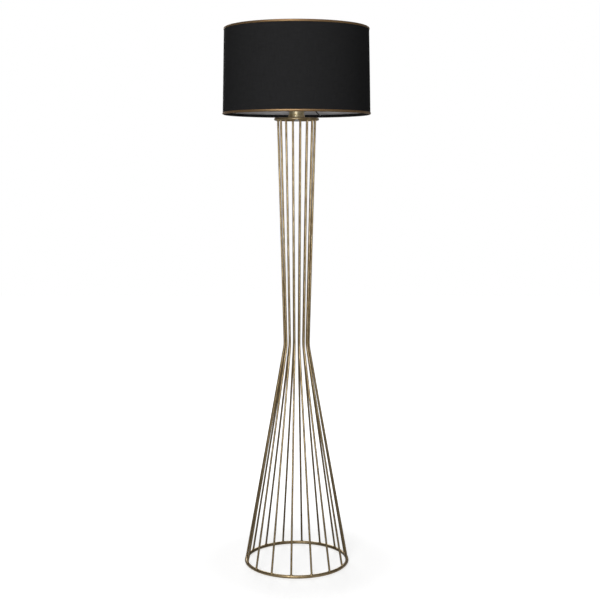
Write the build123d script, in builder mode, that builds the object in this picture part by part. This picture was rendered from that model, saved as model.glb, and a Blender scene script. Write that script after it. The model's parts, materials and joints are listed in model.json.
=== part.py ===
from build123d import *
from math import ceil, cos, radians, sin, sqrt
import os

# Wire cage floor lamp, in millimetres. The origin is on the floor, on the lamp's axis. +Z is up and
# -Y is the front. Angles around the axis start at the front and turn towards +X.

turn_gap = 0.3  # between faces that turn on each other

# Cage
cage_height = 1341.5  # floor to the top of the mounting plate
base_ring_radius = 154.0  # to the centre line of the bar
base_bar = 10.0
base_flat = 0.2  # depth dressed off the underside, so that the ring stands level
top_ring_radius = 62.2  # to the centre line of the bar
top_bar = 7.6
plate_thickness = 3.0
plate_inset = 2.7  # edge of the plate inside the centre line of the top ring
wire_count = 16
wire_diameter = 6.0
wire_start = -5.85  # angle of the first wire at the base ring
foot_offset = 1.5  # of the wires, outside the centre line of the base ring
leg_twist = -3.4  # turn of each wire about the axis, from the base ring to the waist
neck_twist = -1.6  # and from the waist to the top ring
waist_height = 669.0  # where the two straight legs of a wire would meet
waist_radius = 36.6  # centre line of the wires there
waist_bend = 120.0  # bend radius of a wire

# Nipple through the plate, with its nut, washer and bush
nipple_diameter = 10.0
nipple_bore = 8.0
nipple_entry = 8.0  # length of the nipple inside the lampholder
nipple_tail = 1.5  # length of the nipple below its nut
nut_across_flats = 14.0
nut_thickness = 3.0
washer_diameter = 20.0
washer_thickness = 1.0
bush_bore = 6.4
bush_lip = 1.2
bush_lip_diameter = 11.0
bush_lip_round = 0.4
bush_depth = 6.0
hole_gap = 0.15  # play of each hole around the nipple

# Lampholder
seat_diameter = 48.0
seat_height = 8.5
seat_wall = 1.5
holder_diameter = 44.0
holder_wall = 1.2
cup_height = 28.0
cup_floor = 2.0
cup_edge = 2.0  # radius of the cup's lower edge
boss_diameter = 16.0
boss_height = 10.0  # from the underside of the cup
skirt_height = 10.0  # plain part of the sleeve, under the shoulder that carries the shade
spigot_depth = 5.0
spigot_gap = 0.1
collar_diameter = 39.5  # outer thread of the sleeve
collar_height = 20.0
collar_pitch = 2.5
collar_thread_depth = 0.7
collar_runout = 1.0  # plain stretch above the thread
lip_diameter = 31.0  # opening in the top of the sleeve
core_gap = 0.2
core_bore = 28.4
core_floor = 16.0  # thickness of the porcelain under the screw shell
core_recess_diameter = 14.0
core_recess_depth = 6.0
screw_pitch = 3.62
screw_crest_radius = 13.1  # of the bulb's cap
screw_root_radius = 12.2
screw_gap = 0.35
shell_wall = 0.5
shell_hole = 16.0  # opening in the floor of the screw shell
shell_turns = 7
contact_rise = 4.5
contact_width = 6.0
contact_reach = 5.5
contact_thickness = 0.6
terminal_offset = 11.5
terminal_head_diameter = 5.6
terminal_head = 2.0
terminal_diameter = 3.0
terminal_depth = 7.0

# Bulb
tip_diameter = 9.6
tip_height = 1.2
tip_round = 0.6
insulator_height = 3.0
cap_wall = 0.4
cap_skirt = 3.0  # plain rim above the thread
cap_turns = 5
globe_radius = 30.0
globe_height = 70.0  # tip of the bulb to the centre of the globe
shoulder_radius = 24.0  # sweep of the glass from the neck to the globe
glass_wall = 0.8
stem_radius = 4.0
stem_height = 22.0  # above the cap
stem_round = 2.0
flare_height = 3.0
filament_count = 4
filament_diameter = 2.0
filament_length = 30.0
filament_circle = 9.0
lead_diameter = 0.8
lead_post_diameter = 1.6

# Shade
shade_drop = 36.7  # lower edge of the fabric under the shoulder that carries the shade
shade_height = 248.0
shade_bottom_diameter = 432.0
shade_top_diameter = 421.0
fabric = 0.8
lining = 0.5
lining_gap = 0.3  # glue between the fabric and its lining
hem_depth = 8.0
hem_edge = 2.4  # outer radius of the folded edges
hem_gap = 0.05  # play around the rings in their hems
shade_wire = 4.0
trim_height = 6.0
trim_wrap = 3.0  # how far the tape turns over the edge
trim_thickness = 0.4
trim_gap = 0.3  # glue between the tape and the fabric

# Spider and its ring
fitter_diameter = 56.0
fitter_thickness = 2.5
fitter_gap = 0.35  # play of the fitter around the thread
arm_wire = 4.0
arm_overlap = 1.2  # how far an arm grips the rim of the fitter
arm_knee_radius = 112.0
arm_bend = 40.0
arm_start = 40.0  # angle of the first arm
arm_sides = ("right", "back", "left")
notch_gap = 0.3
ring_diameter = 50.0
ring_height = 8.0
ring_grip_radius = 1.4
ring_grips = 30

# Heights above the floor
plate_under = cage_height - plate_thickness
base_centre = base_bar / 2 - base_flat
top_ring_centre = cage_height - top_bar / 2
cup_under = cage_height + seat_height
cup_top = cup_under + cup_height
shoulder = cup_top + skirt_height
collar_top = shoulder + collar_height
boss_top = cup_under + boss_height
core_seat = boss_top + core_floor
bulb_tip = core_seat + contact_rise + turn_gap
insulator_base = bulb_tip + tip_height
cap_base = insulator_base + insulator_height
globe_centre = bulb_tip + globe_height
shade_bottom = shoulder - shade_drop
shade_top = shade_bottom + shade_height
rim_inset = fabric + hem_gap + shade_wire / 2  # of the shade's rings, from its edges
fitter_under = shoulder + turn_gap
ring_under = fitter_under + fitter_thickness + turn_gap

# Radii and angles
wire_top_radius = top_ring_radius - top_bar / 2 - wire_diameter / 2
waist_angle = wire_start + leg_twist
lining_inset = fabric + lining_gap
rim_wire_inset = lining_inset + lining + hem_gap + shade_wire / 2  # of the shade's rings, from its face
hem_width = rim_wire_inset + shade_wire / 2 + hem_gap + fabric
collar_radius = collar_diameter / 2
collar_root = collar_radius - collar_thread_depth
core_radius = collar_root - holder_wall - core_gap


def polar(radius, angle, height):
    """A point at a radius from the axis and an angle from the front."""
    return Vector(radius * sin(radians(angle)), -radius * cos(radians(angle)), height)


def shade_radius(height):
    """Outer radius of the fabric, which tapers evenly from its lower to its upper edge."""
    share = (height - shade_bottom) / shade_height
    return shade_bottom_diameter / 2 + (shade_top_diameter - shade_bottom_diameter) / 2 * share


def thread_points(crest, root, start, pitch, turns):
    """Corners of a V thread's profile, as radius and height, upwards."""
    points = [(root, start)]
    for turn in range(turns):
        points.append((crest, start + (turn + 0.5) * pitch))
        points.append((root, start + (turn + 1) * pitch))
    return points


def fabric_point(inset, height):
    """A point of the shade's outline, at a depth under the outer face of the fabric."""
    return shade_radius(height) - inset, height


def write(part, name):
    part.label = name
    export_step(part, f"parts/{name}.step")


os.makedirs("parts", exist_ok=True)

# Cage: two rings of round bar, sixteen bent wires between them, and the plate in the top ring

with BuildPart() as base_ring:
    with BuildSketch(Plane.XZ):
        with Locations((base_ring_radius, base_centre)):
            Circle(base_bar / 2)
    revolve(axis=Axis.Z)
    split(bisect_by=Plane.XY, keep=Keep.TOP)
write(base_ring.part, "base_ring")

with BuildPart() as top_ring:
    with BuildSketch(Plane.XZ):
        with Locations((top_ring_radius, top_ring_centre)):
            Circle(top_bar / 2)
    revolve(axis=Axis.Z)
write(top_ring.part, "top_ring")

with BuildPart() as cage_wire:
    with BuildLine() as route:
        FilletPolyline(
            polar(base_ring_radius + foot_offset, wire_start, base_centre),
            polar(waist_radius, waist_angle, waist_height),
            polar(wire_top_radius, waist_angle + neck_twist, cage_height),
            radius=waist_bend,
        )
    with BuildSketch(Plane(origin=route.line @ 0, z_dir=route.line % 0)):
        Circle(wire_diameter / 2)
    sweep()
    split(bisect_by=Plane.XY.offset(plate_under), keep=Keep.BOTTOM)
    add(base_ring.part, mode=Mode.SUBTRACT)

for number in range(wire_count):
    wire = cage_wire.part.rotate(Axis.Z, number * 360 / wire_count)
    write(wire, f"cage_wire_{number + 1:02d}")

with BuildPart() as mounting_plate:
    with BuildSketch(Plane.XY.offset(plate_under)):
        Circle(top_ring_radius - plate_inset)
        Circle(nipple_diameter / 2 + hole_gap, mode=Mode.SUBTRACT)
    extrude(amount=plate_thickness)
    add(top_ring.part, mode=Mode.SUBTRACT)
write(mounting_plate.part, "mounting_plate")

# Nipple with its nut, washer and bush

washer_under = plate_under - washer_thickness
nut_under = washer_under - nut_thickness
nipple_under = nut_under - nipple_tail
nipple_top = cup_under + nipple_entry

with BuildPart() as nipple:
    with BuildSketch(Plane.XY.offset(nipple_under)):
        Circle(nipple_diameter / 2)
        Circle(nipple_bore / 2, mode=Mode.SUBTRACT)
    extrude(amount=nipple_top - nipple_under)
write(nipple.part, "threaded_nipple")

with BuildPart() as washer:
    with BuildSketch(Plane.XY.offset(washer_under)):
        Circle(washer_diameter / 2)
        Circle(nipple_diameter / 2 + hole_gap, mode=Mode.SUBTRACT)
    extrude(amount=washer_thickness)
write(washer.part, "plate_washer")

with BuildPart() as lock_nut:
    with BuildSketch(Plane.XY.offset(nut_under)):
        RegularPolygon(nut_across_flats / 2, 6, major_radius=False)
        Circle(nipple_diameter / 2, mode=Mode.SUBTRACT)
    extrude(amount=nut_thickness)
write(lock_nut.part, "lock_nut")

with BuildPart() as cable_bush:
    with BuildSketch(Plane.XY.offset(nipple_under)):
        Circle(nipple_bore / 2)
        Circle(bush_bore / 2, mode=Mode.SUBTRACT)
    extrude(amount=bush_depth)
    with BuildSketch(Plane.XY.offset(nipple_under)):
        Circle(bush_lip_diameter / 2)
        Circle(bush_bore / 2, mode=Mode.SUBTRACT)
    extrude(amount=-bush_lip)
    lip_edges = cable_bush.edges().filter_by(GeomType.CIRCLE).group_by(Axis.Z)[0]
    fillet(lip_edges, bush_lip_round)
write(cable_bush.part, "cable_bush")

# Lampholder: a seat on the plate, then cup and sleeve as two shells around the porcelain core

with BuildPart() as holder_seat:
    with BuildSketch(Plane.XY.offset(cage_height)):
        Circle(seat_diameter / 2)
    extrude(amount=seat_height)
    fillet(holder_seat.edges().filter_by(GeomType.CIRCLE).group_by(Axis.Z)[-1], seat_wall)
    with BuildSketch(Plane.XY.offset(cage_height)):
        Circle(seat_diameter / 2 - seat_wall)
    extrude(amount=seat_height - seat_wall, mode=Mode.SUBTRACT)
    with BuildSketch(Plane.XY.offset(cage_height)):
        Circle(nipple_diameter / 2 + hole_gap)
    extrude(amount=seat_height, mode=Mode.SUBTRACT)
write(holder_seat.part, "holder_seat")

with BuildPart() as holder_cup:
    with BuildSketch(Plane.XY.offset(cup_under)):
        Circle(holder_diameter / 2)
    extrude(amount=cup_height)
    fillet(holder_cup.edges().filter_by(GeomType.CIRCLE).group_by(Axis.Z)[0], cup_edge)
    with BuildSketch(Plane.XY.offset(cup_under + cup_floor)):
        Circle(holder_diameter / 2 - holder_wall)
    extrude(amount=cup_height, mode=Mode.SUBTRACT)
    with BuildSketch(Plane.XY.offset(cup_under + cup_floor)):
        Circle(boss_diameter / 2)
    extrude(amount=boss_height - cup_floor)
    with BuildSketch(Plane.XY.offset(cup_under)):
        Circle(nipple_diameter / 2)
    extrude(amount=boss_height, mode=Mode.SUBTRACT)
write(holder_cup.part, "holder_cup")

collar_turns = int((collar_height - collar_runout) / collar_pitch)
spigot_radius = holder_diameter / 2 - holder_wall - spigot_gap
with BuildPart() as holder_sleeve:
    with BuildSketch(Plane.XZ):
        with BuildLine():
            Polyline(
                (collar_root - holder_wall, shoulder - holder_wall),
                (collar_root - holder_wall, collar_top),
                (lip_diameter / 2, collar_top),
                (lip_diameter / 2, collar_top + holder_wall),
                (collar_root, collar_top + holder_wall),
                *reversed(thread_points(collar_radius, collar_root, shoulder, collar_pitch, collar_turns)),
                (holder_diameter / 2, shoulder),
                (holder_diameter / 2, cup_top),
                (spigot_radius, cup_top),
                (spigot_radius, cup_top - spigot_depth),
                (spigot_radius - holder_wall, cup_top - spigot_depth),
                (spigot_radius - holder_wall, shoulder - holder_wall),
                close=True,
            )
        make_face()
    revolve(axis=Axis.Z)
write(holder_sleeve.part, "holder_sleeve")

with BuildPart() as holder_core:
    with BuildSketch(Plane.XY.offset(boss_top)):
        Circle(core_radius)
    extrude(amount=collar_top - boss_top)
    with BuildSketch(Plane.XY.offset(core_seat)):
        Circle(core_bore / 2)
    extrude(amount=collar_top - core_seat, mode=Mode.SUBTRACT)
    with BuildSketch(Plane.XY.offset(boss_top)):
        Circle(core_recess_diameter / 2)
    extrude(amount=core_recess_depth, mode=Mode.SUBTRACT)
    with BuildSketch(Plane.XY.offset(boss_top)):
        with Locations((terminal_offset, 0), (-terminal_offset, 0)):
            Circle(terminal_diameter / 2)
    extrude(amount=terminal_head + terminal_depth, mode=Mode.SUBTRACT)
    with BuildSketch(Plane.XY.offset(boss_top)):
        with Locations((terminal_offset, 0), (-terminal_offset, 0)):
            Circle(terminal_head_diameter / 2 + core_gap)
    extrude(amount=terminal_head, mode=Mode.SUBTRACT)
write(holder_core.part, "holder_core")

with BuildPart() as terminal_screws:
    with BuildSketch(Plane.XY.offset(boss_top)):
        with Locations((terminal_offset, 0), (-terminal_offset, 0)):
            Circle(terminal_head_diameter / 2)
    extrude(amount=terminal_head)
    with BuildSketch(Plane.XY.offset(boss_top + terminal_head)):
        with Locations((terminal_offset, 0), (-terminal_offset, 0)):
            Circle(terminal_diameter / 2)
    extrude(amount=terminal_depth)
write(terminal_screws.part, "holder_terminal_screws")

# The bulb's cap and the screw shell share one thread, on the same heights, with the gap between them
shell_root = screw_root_radius + screw_gap
shell_crest = screw_crest_radius + screw_gap
shell_inside = thread_points(shell_crest, shell_root, core_seat + shell_wall, screw_pitch, shell_turns)
shell_outside = [(radius + shell_wall, height) for radius, height in shell_inside]
with BuildPart() as screw_shell:
    with BuildSketch(Plane.XZ):
        with BuildLine():
            Polyline(
                (shell_hole / 2, core_seat),
                (shell_hole / 2, core_seat + shell_wall),
                *shell_inside,
                *reversed(shell_outside),
                (shell_root + shell_wall, core_seat),
                close=True,
            )
        make_face()
    revolve(axis=Axis.Z)
write(screw_shell.part, "holder_screw_shell")

with BuildPart() as centre_contact:
    with BuildSketch(Plane.XZ):
        with BuildLine():
            Polyline(
                (-contact_reach, core_seat),
                (-contact_reach / 2, core_seat + contact_rise),
                (contact_reach / 2, core_seat + contact_rise),
                (contact_reach, core_seat),
                (contact_reach - contact_thickness, core_seat),
                (contact_reach / 2 - contact_thickness / 2, core_seat + contact_rise - contact_thickness),
                (contact_thickness / 2 - contact_reach / 2, core_seat + contact_rise - contact_thickness),
                (contact_thickness - contact_reach, core_seat),
                close=True,
            )
        make_face()
    extrude(amount=contact_width / 2, both=True)
write(centre_contact.part, "holder_centre_contact")

# Bulb: cap with its insulator and contact, glass, stem, leads and filaments

cap_start = core_seat + shell_wall + ceil((cap_base - core_seat - shell_wall) / screw_pitch) * screw_pitch
cap_outside = thread_points(screw_crest_radius, screw_root_radius, cap_start, screw_pitch, cap_turns)
cap_rim = cap_start + cap_turns * screw_pitch + cap_skirt
cap_outside.append((screw_root_radius, cap_rim))
cap_outside.insert(0, (screw_root_radius, cap_base))
cap_inside = [(radius - cap_wall, height) for radius, height in cap_outside]
with BuildPart() as bulb_cap:
    with BuildSketch(Plane.XZ):
        with BuildLine():
            Polyline(*cap_outside, *reversed(cap_inside), close=True)
        make_face()
    revolve(axis=Axis.Z)
write(bulb_cap.part, "bulb_cap")

with BuildPart() as insulator:
    with BuildSketch(Plane.XZ):
        with BuildLine():
            Polyline(
                (0, insulator_base),
                (tip_diameter / 2, insulator_base),
                (screw_root_radius, cap_base),
                (screw_root_radius - cap_wall, cap_base),
                (screw_root_radius - cap_wall, cap_base + cap_wall),
                (0, cap_base + cap_wall),
                close=True,
            )
        make_face()
    revolve(axis=Axis.Z)
write(insulator.part, "bulb_cap_insulator")

with BuildPart() as tip_contact:
    with BuildSketch(Plane.XY.offset(bulb_tip)):
        Circle(tip_diameter / 2)
    extrude(amount=tip_height)
    fillet(tip_contact.edges().filter_by(GeomType.CIRCLE).group_by(Axis.Z)[0], tip_round)
write(tip_contact.part, "bulb_tip_contact")


def glass_outline(inset):
    """The bulb's outline from the neck to the crown, drawn at a depth under the surface of the glass."""
    neck = screw_root_radius - cap_wall
    reach = globe_radius + shoulder_radius
    drop = sqrt(reach**2 - (neck + shoulder_radius) ** 2)
    share = (globe_radius - inset) / reach
    below = Line((neck - inset, cap_rim - cap_skirt), (neck - inset, globe_centre - drop))
    meeting = ((neck + shoulder_radius) * share, globe_centre - drop * share)
    shoulder_arc = TangentArc(below @ 1, meeting, tangent=below % 1)
    TangentArc(shoulder_arc @ 1, (0, globe_centre + globe_radius - inset), tangent=shoulder_arc % 1)
    Polyline((0, globe_centre + globe_radius - inset), (0, cap_rim - cap_skirt), below @ 0)


with BuildPart() as bulb_glass:
    with BuildSketch(Plane.XZ):
        with BuildLine():
            glass_outline(0)
        make_face()
        with BuildLine():
            glass_outline(glass_wall)
        make_face(mode=Mode.SUBTRACT)
    revolve(axis=Axis.Z)
write(bulb_glass.part, "bulb_glass")

stem_base = cap_rim - cap_skirt
stem_top = cap_rim + stem_height
with BuildPart() as stem:
    with BuildSketch(Plane.XY.offset(stem_base)):
        Circle(screw_root_radius - cap_wall - glass_wall)
    with BuildSketch(Plane.XY.offset(stem_base + flare_height)):
        Circle(stem_radius)
    loft()
    with BuildSketch(Plane.XY.offset(stem_base + flare_height)):
        Circle(stem_radius)
    extrude(amount=stem_top - stem_base - flare_height)
    fillet(stem.edges().filter_by(GeomType.CIRCLE).group_by(Axis.Z)[-1], stem_round)
write(stem.part, "bulb_stem")

filament_top = stem_top + lead_diameter + filament_length
with BuildPart() as lead_wires:
    with BuildSketch(Plane.XY.offset(stem_top)):
        Circle(lead_post_diameter / 2)
    extrude(amount=filament_top + lead_diameter - stem_top)
    for level in (stem_top, filament_top):
        with BuildSketch(Plane.XY.offset(level)):
            with PolarLocations(filament_circle / 2, filament_count):
                Rectangle(filament_circle, lead_diameter)
        extrude(amount=lead_diameter)
write(lead_wires.part, "bulb_lead_wires")

with BuildPart() as filaments:
    with BuildSketch(Plane.XY.offset(stem_top + lead_diameter)):
        with PolarLocations(filament_circle - filament_diameter / 2, filament_count):
            Circle(filament_diameter / 2)
    extrude(amount=filament_length)
write(filaments.part, "bulb_filaments")

# Shade: wire rings in the hems of a fabric drum, its lining, edge tapes and the spider


def rim_ring(centre):
    """A ring of wire inside a hem, at the height of its centre."""
    with BuildPart() as ring:
        with BuildSketch(Plane.XZ):
            with Locations(fabric_point(rim_wire_inset, centre)):
                Circle(shade_wire / 2)
        revolve(axis=Axis.Z)
    return ring.part


bottom_ring = rim_ring(shade_bottom + rim_inset)
top_rim_ring = rim_ring(shade_top - rim_inset)
write(bottom_ring, "shade_bottom_ring")
write(top_rim_ring, "shade_top_ring")

with BuildPart() as fitter:
    with BuildSketch(Plane.XY.offset(fitter_under)):
        Circle(fitter_diameter / 2)
        Circle(collar_radius + fitter_gap, mode=Mode.SUBTRACT)
    extrude(amount=fitter_thickness)
write(fitter.part, "shade_fitter")


def arm_points(angle):
    """An arm runs level from the rim of the fitter to its knee, and then down to the lower ring."""
    level = fitter_under + fitter_thickness / 2
    rim = shade_bottom + rim_inset
    return [
        polar(fitter_diameter / 2 - arm_overlap, angle, level),
        polar(arm_knee_radius, angle, level),
        polar(shade_radius(rim) - rim_wire_inset, angle, rim),
    ]


arm_angles = [arm_start + number * 360 / len(arm_sides) for number in range(len(arm_sides))]
for side, angle in zip(arm_sides, arm_angles):
    with BuildPart() as arm:
        with BuildLine() as route:
            FilletPolyline(*arm_points(angle), radius=arm_bend)
        with BuildSketch(Plane(origin=route.line @ 0, z_dir=route.line % 0)):
            Circle(arm_wire / 2)
        sweep()
        add(fitter.part, mode=Mode.SUBTRACT)
        add(bottom_ring, mode=Mode.SUBTRACT)
    write(arm.part, f"shade_arm_{side}")

hem_top = shade_top - hem_depth
hem_bottom = shade_bottom + hem_depth
inner_edge = hem_edge - fabric
with BuildPart() as cover:
    with BuildSketch(Plane.XZ):
        with BuildLine():
            FilletPolyline(
                fabric_point(0, shade_bottom),
                fabric_point(0, shade_top),
                fabric_point(hem_width, shade_top),
                fabric_point(hem_width, hem_top),
                fabric_point(hem_width - fabric, hem_top),
                fabric_point(hem_width - fabric, shade_top - fabric),
                fabric_point(fabric, shade_top - fabric),
                fabric_point(fabric, shade_bottom + fabric),
                fabric_point(hem_width - fabric, shade_bottom + fabric),
                fabric_point(hem_width - fabric, hem_bottom),
                fabric_point(hem_width, hem_bottom),
                fabric_point(hem_width, shade_bottom),
                radius=[hem_edge] * 3 + [0, 0] + [inner_edge] * 4 + [0, 0] + [hem_edge],
                close=True,
            )
        make_face()
    revolve(axis=Axis.Z)
    for angle in arm_angles:
        with BuildLine() as route:
            FilletPolyline(*arm_points(angle), radius=arm_bend)
        with BuildSketch(Plane(origin=route.line @ 0, z_dir=route.line % 0)):
            Circle(arm_wire / 2 + notch_gap)
        sweep(mode=Mode.SUBTRACT)
write(cover.part, "shade_cover")

lining_bottom = shade_bottom + hem_edge + hem_gap
lining_top = shade_top - hem_edge - hem_gap
with BuildPart() as shade_lining:
    with BuildSketch(Plane.XZ):
        with BuildLine():
            Polyline(
                fabric_point(lining_inset, lining_bottom),
                fabric_point(lining_inset, lining_top),
                fabric_point(lining_inset + lining, lining_top),
                fabric_point(lining_inset + lining, lining_bottom),
                close=True,
            )
        make_face()
    revolve(axis=Axis.Z)
write(shade_lining.part, "shade_lining")


def edge_tape(edge, inwards, outer_side):
    """A tape along one edge of the fabric, folded flat over its round; inwards is the way to mid-height."""
    bevel = hem_edge * (2 - sqrt(2))
    level = edge - inwards * trim_gap
    with BuildPart() as tape:
        with BuildSketch(Plane.XZ):
            with BuildLine():
                Polyline(
                    fabric_point(-trim_gap, edge + inwards * trim_height),
                    fabric_point(-trim_gap, edge + inwards * bevel),
                    (shade_radius(edge) - bevel, level),
                    (shade_radius(edge) - trim_wrap, level),
                )
                offset(amount=trim_thickness, side=outer_side, kind=Kind.INTERSECTION)
            make_face()
        revolve(axis=Axis.Z)
    return tape.part


write(edge_tape(shade_bottom, 1, Side.LEFT), "shade_bottom_trim")
write(edge_tape(shade_top, -1, Side.RIGHT), "shade_top_trim")

# Threaded ring that holds the fitter down on the shoulder

with BuildPart() as shade_ring:
    with BuildSketch(Plane.XY.offset(ring_under)):
        Circle(ring_diameter / 2)
        with PolarLocations(ring_diameter / 2 + ring_grip_radius / 2, ring_grips):
            Circle(ring_grip_radius, mode=Mode.SUBTRACT)
    extrude(amount=ring_height)
    with BuildSketch(Plane.XZ):
        with BuildLine():
            Polyline(
                (0, shoulder),
                *thread_points(
                    collar_radius + turn_gap, collar_root + turn_gap, shoulder, collar_pitch, collar_turns
                ),
                (0, shoulder + collar_turns * collar_pitch),
                close=True,
            )
        make_face()
    revolve(axis=Axis.Z, mode=Mode.SUBTRACT)
write(shade_ring.part, "shade_ring")
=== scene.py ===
import json
from math import cos, hypot, pi, radians, sin, sqrt

import bmesh
import bpy
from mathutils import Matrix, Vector, noise


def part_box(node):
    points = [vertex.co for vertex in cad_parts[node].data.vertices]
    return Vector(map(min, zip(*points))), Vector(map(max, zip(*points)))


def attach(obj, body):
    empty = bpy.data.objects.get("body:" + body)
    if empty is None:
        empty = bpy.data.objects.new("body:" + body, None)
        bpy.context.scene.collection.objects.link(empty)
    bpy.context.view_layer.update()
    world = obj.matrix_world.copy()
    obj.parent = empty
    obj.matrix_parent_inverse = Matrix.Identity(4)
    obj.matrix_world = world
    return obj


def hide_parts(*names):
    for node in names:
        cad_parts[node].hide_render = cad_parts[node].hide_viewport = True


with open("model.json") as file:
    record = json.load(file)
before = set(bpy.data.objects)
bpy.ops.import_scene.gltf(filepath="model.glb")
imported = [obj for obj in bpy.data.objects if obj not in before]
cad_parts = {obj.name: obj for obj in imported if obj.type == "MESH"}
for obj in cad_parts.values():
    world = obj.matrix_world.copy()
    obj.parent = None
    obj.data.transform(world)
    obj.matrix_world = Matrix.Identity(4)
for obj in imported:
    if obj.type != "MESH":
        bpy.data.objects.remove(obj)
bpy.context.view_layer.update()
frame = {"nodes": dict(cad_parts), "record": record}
mm = 0.001
print("frame loaded:", len(frame["nodes"]), "nodes")


# Small helpers

def linearColour(hexColour):  # sRGB hex to linear red, green, blue and alpha
    shares = [int(hexColour[at:at + 2], 16) / 255 for at in (1, 3, 5)]
    return [s / 12.92 if s <= 0.04045 else ((s + 0.055) / 1.055) ** 2.4 for s in shares] + [1.0]


def addNode(tree, kind, inputs=None, stops=None, **settings):
    node = tree.nodes.new("ShaderNode" + kind)
    for name, value in settings.items():
        setattr(node, name, value)
    for place, (position, colour) in enumerate(stops or []):
        elements = node.color_ramp.elements
        element = elements[place] if place < 2 else elements.new(position)
        element.position = position
        element.color = linearColour(colour)
    for name, value in (inputs or {}).items():
        if isinstance(value, bpy.types.NodeSocket):
            tree.links.new(value, node.inputs[name])
        else:
            node.inputs[name].default_value = value
    return node


def newMaterial(name):
    material = bpy.data.materials.new(name)
    material.use_nodes = True
    material.node_tree.nodes.clear()
    return material, material.node_tree


def perMetre(sizeInMm):  # texture scale that gives features of this size
    return 1000 / sizeInMm


def polar(radius, angle, height):  # degrees from the front towards +X
    return Vector((radius * sin(radians(angle)), -radius * cos(radians(angle)), height))


def smoothStep(share):
    share = min(1, max(0, share))
    return share * share * (3 - 2 * share)


def newPiece(name, mesh, body, slot, sharpAngle=38):
    work = bmesh.new()
    work.from_mesh(mesh)
    bmesh.ops.recalc_face_normals(work, faces=work.faces)
    work.to_mesh(mesh)
    work.free()
    mesh.shade_smooth()
    mesh.set_sharp_from_angle(angle=radians(sharpAngle))
    mesh.materials.append(slotFinish[slot])
    piece = bpy.data.objects.new(name, mesh)
    bpy.context.scene.collection.objects.link(piece)
    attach(piece, body)
    return piece


# Metals

brassLook = {
    "pale": "#d1bd99",
    "warm": "#b9a27a",
    "dark": "#95815e",
    "burntAndShade": "#463a2b",  # dark brown mixed in: the real specks, darker beside the lower welds, and painted shade low on the cage and inside it
    "cloud": 26,  # mm
    "speck": 1.6,
    "drawn": 0.4,
    "drawnLong": 9,
    "drawnDepth": 0.05,
    "weldAt": 12,  # height of the lower welds
    "weldFade": 26,
    "weldDarkening": 0.35,  # share of the dark brown beside the lower welds
    "speckTone": 0.22,  # and in the specks
    "paintedShadeLow": (0.42, 0.58),  # painted shade low on the cage, on outward faces and on inward ones
    "lowFrom": 650,  # mm above the floor, where that painted shade sets in
    "lowTo": 150,  # and where it is full
    "roughness": (0.30, 0.44),  # where the cloud is palest, and where it is darkest
}


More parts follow.
